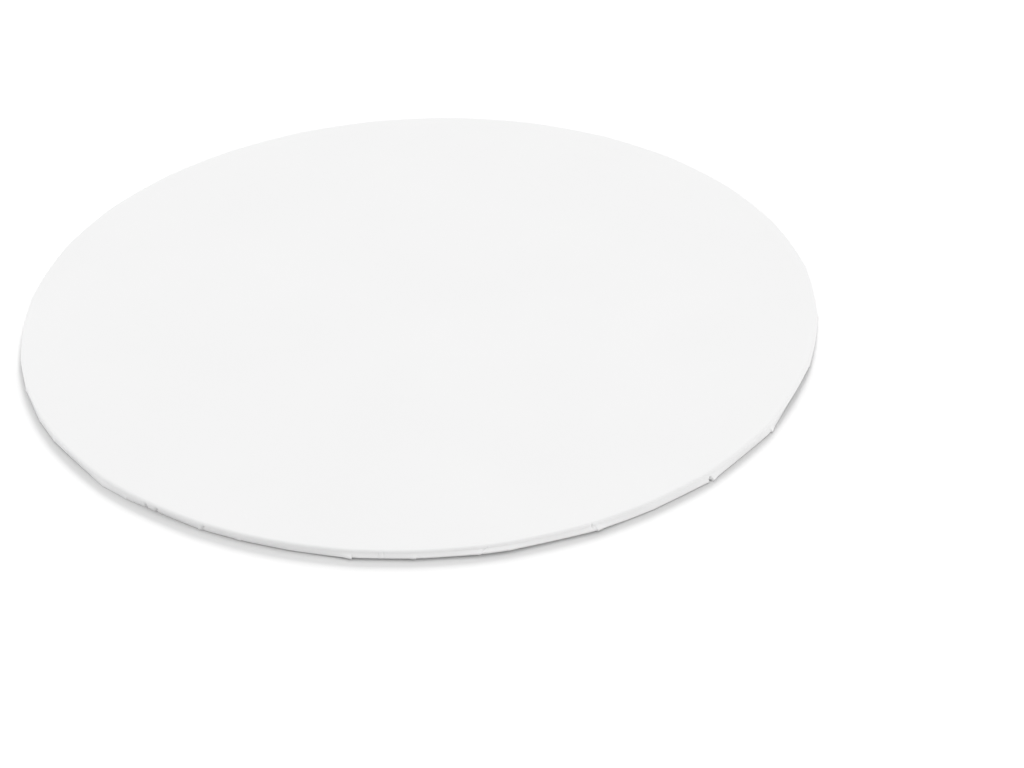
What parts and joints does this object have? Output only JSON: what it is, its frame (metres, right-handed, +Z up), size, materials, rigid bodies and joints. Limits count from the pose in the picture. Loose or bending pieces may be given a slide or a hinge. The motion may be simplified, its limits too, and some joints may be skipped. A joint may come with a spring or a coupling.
{
  "type": "cake board",
  "caption": "Round flat cake board, a thin stiff disc covered in white paper that is pleated over the rim and turned in underneath.",
  "frame": {"origin": "centre of the underside, on the surface that the board lies on", "axes": "+Z up, square to the flat faces; -Y towards the front edge"},
  "size_m": [0.3048, 0.307, 0.0033],
  "materials": {
    "cover_paper": "smooth white coated paper with a soft satin sheen"
  },
  "bodies": {
    "root": {"cake_board": "cover_paper"}
  },
  "joints": []
}
